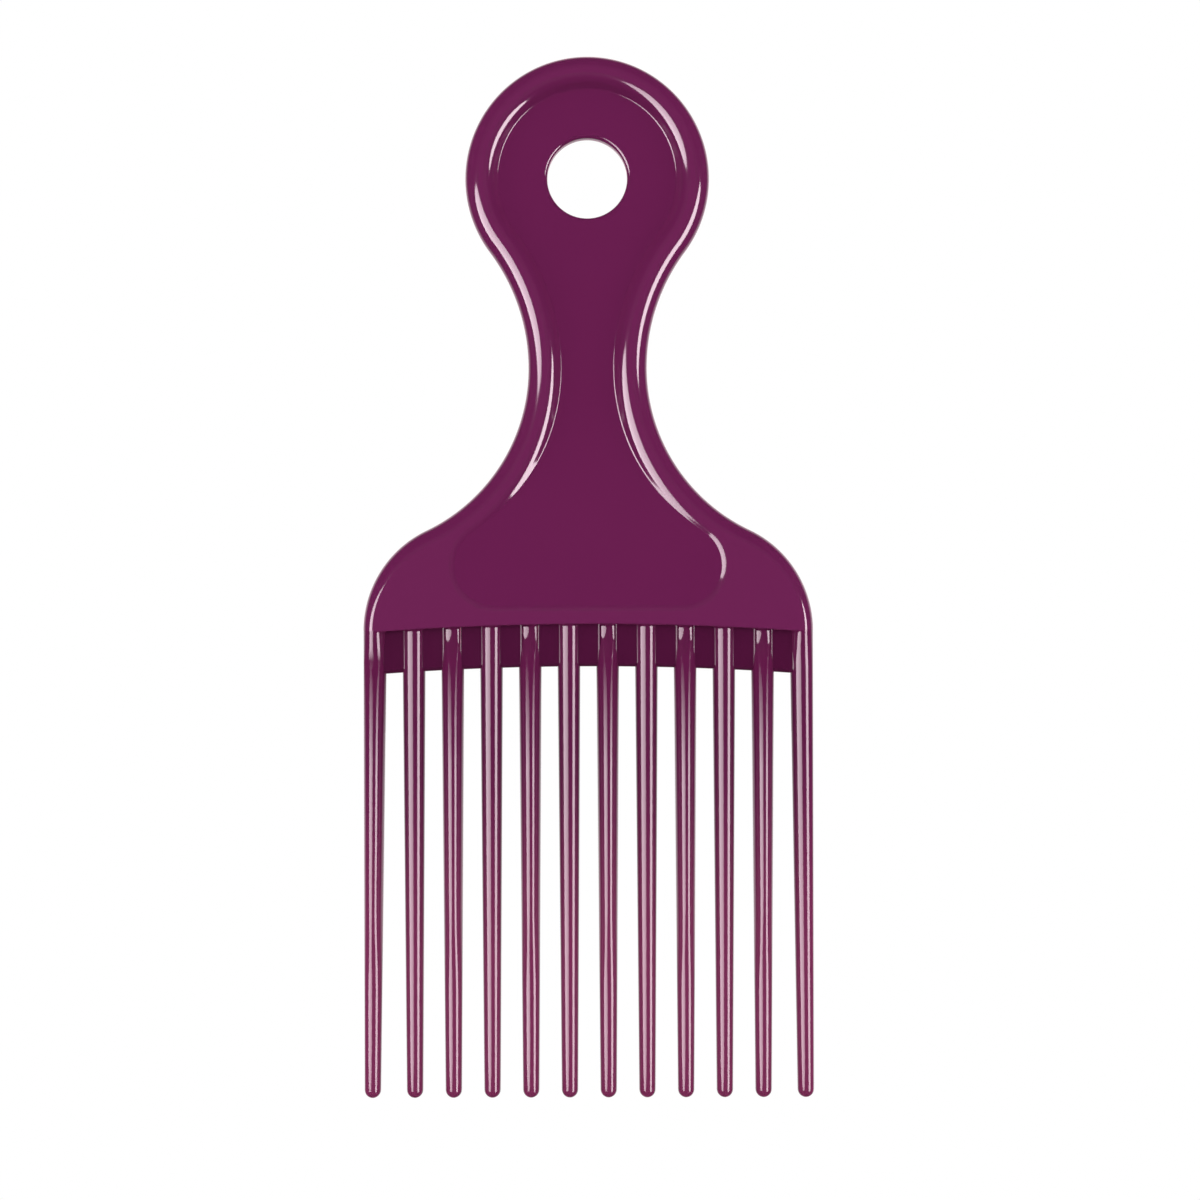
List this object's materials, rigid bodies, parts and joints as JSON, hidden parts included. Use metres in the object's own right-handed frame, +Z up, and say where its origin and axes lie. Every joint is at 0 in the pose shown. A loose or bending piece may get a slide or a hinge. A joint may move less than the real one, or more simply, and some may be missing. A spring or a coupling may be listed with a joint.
{
  "type": "afro pick",
  "caption": "Flat moulded hair pick: round grip with a hang hole, waisted neck and wide head, with a web that carries a row of twelve long tines, ribbed in front and at the back in turn.",
  "frame": {"origin": "centre of the hang hole, at half the thickness", "axes": "+Z up the handle, away from the tine tips; +X across the tines, to the right seen from the front; +Y to the back"},
  "size_m": [0.0756, 0.0056, 0.175],
  "materials": {
    "plum_plastic": "polished moulding"
  },
  "bodies": {
    "root": {"handle": "plum_plastic", "root_web": "plum_plastic", "tine_01": "plum_plastic", "tine_02": "plum_plastic", "tine_03": "plum_plastic", "tine_04": "plum_plastic", "tine_05": "plum_plastic", "tine_06": "plum_plastic", "tine_07": "plum_plastic", "tine_08": "plum_plastic", "tine_09": "plum_plastic", "tine_10": "plum_plastic", "tine_11": "plum_plastic", "tine_12": "plum_plastic"}
  },
  "joints": []
}
